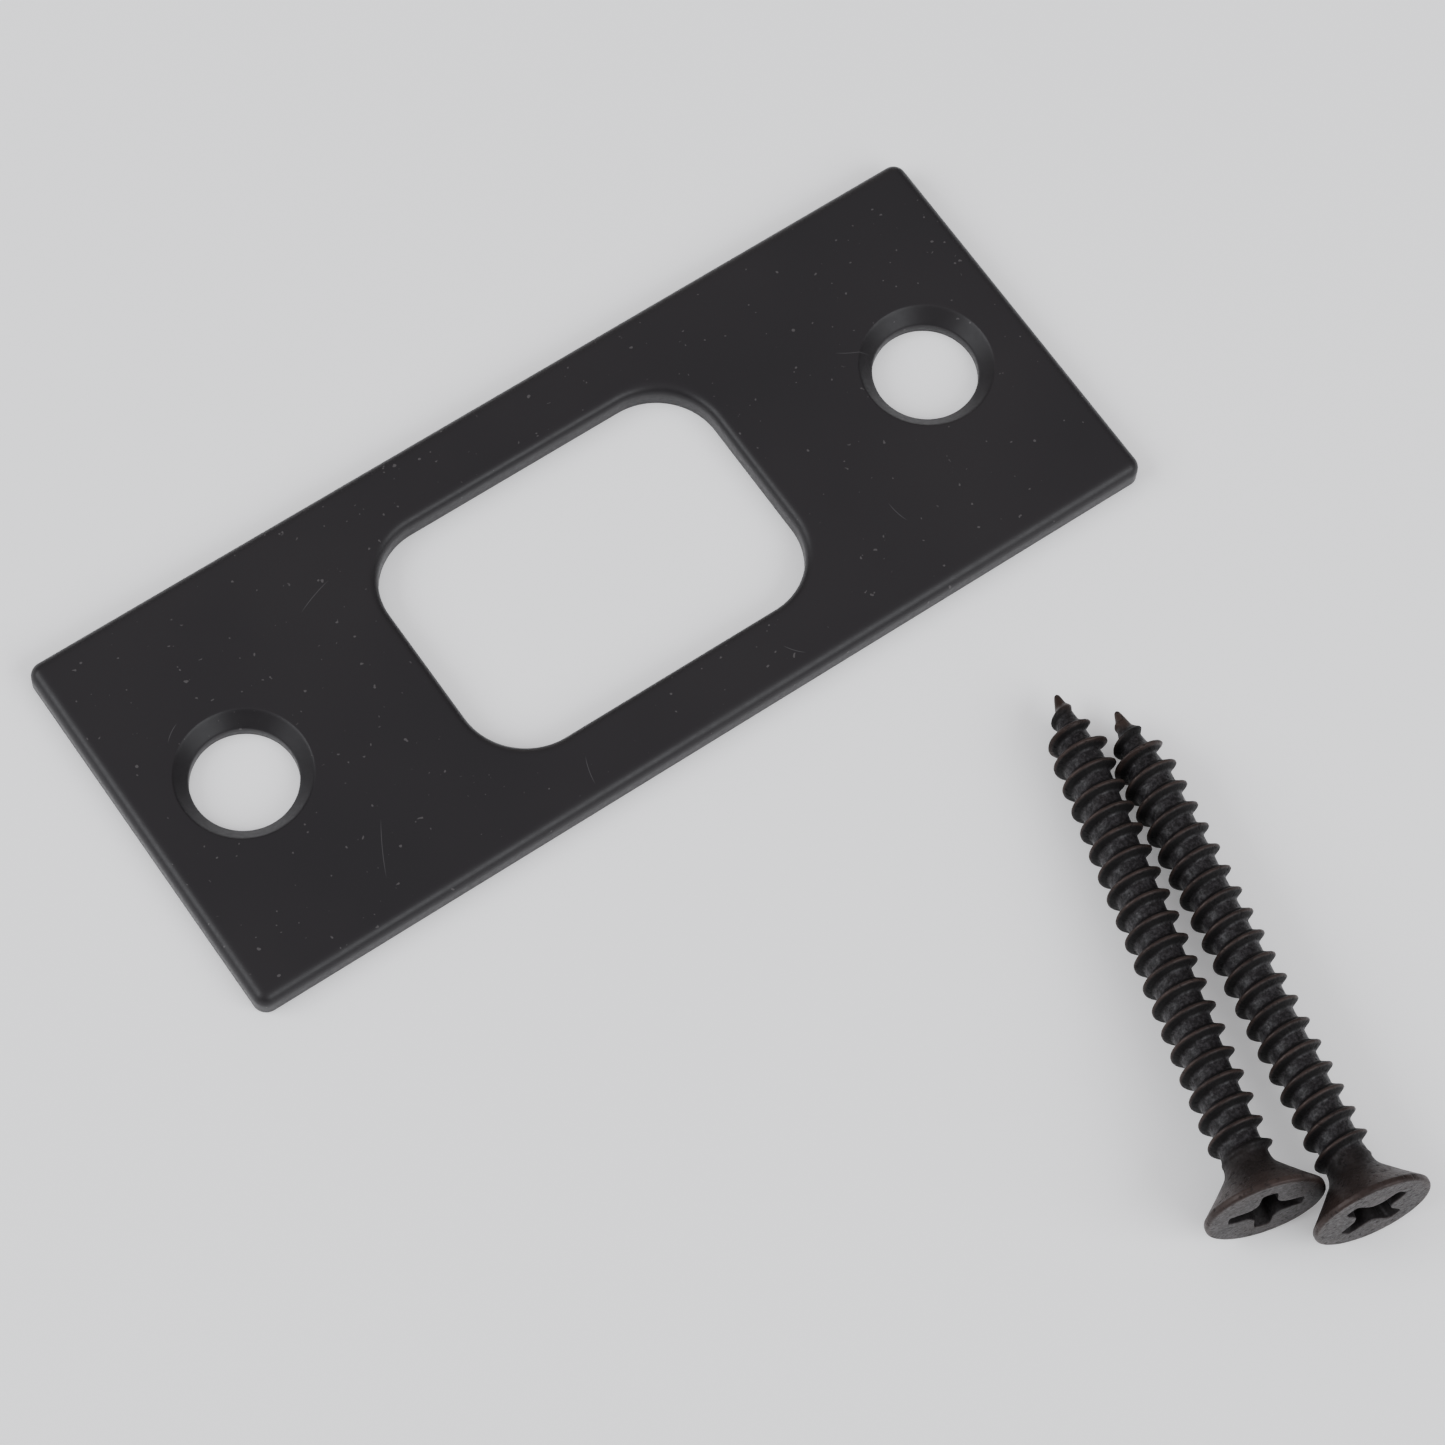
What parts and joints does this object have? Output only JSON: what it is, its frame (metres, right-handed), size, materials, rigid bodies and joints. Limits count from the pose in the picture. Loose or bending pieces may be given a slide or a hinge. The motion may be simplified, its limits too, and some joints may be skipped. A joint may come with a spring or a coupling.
{
  "type": "deadbolt strike plate with wood screws",
  "caption": "Flat deadbolt strike plate with a rounded bolt opening and countersunk screw holes, with its flat-head cross-recess wood screws lying beside it.",
  "frame": {"origin": "centre of the plate's back face, midway between the screw holes, on the surface that plate and screws lie on", "axes": "+X along the plate from the left hole to the right hole, +Y across the plate away from the screws, +Z out of the plate's face"},
  "size_m": [0.0698, 0.0801, 0.008],
  "materials": {
    "black_plate": "satin black coating, thin and slightly worn at the rolled edges",
    "bronze_screw": "dark bronze plating, near black in the valleys, copper brown on worn crests and rims"
  },
  "bodies": {
    "plate": {"strike_plate": "black_plate"},
    "left_screw": {"wood_screw_left": "bronze_screw"},
    "right_screw": {"wood_screw_right": "bronze_screw"}
  },
  "joints": [
    {"name": "left_screw_lift", "type": "slide", "parent": "plate", "child": "left_screw", "axis": [0, 0, 1], "range_m": [0, 0.05]},
    {"name": "right_screw_lift", "type": "slide", "parent": "plate", "child": "right_screw", "axis": [0, 0, 1], "range_m": [0, 0.05]}
  ]
}
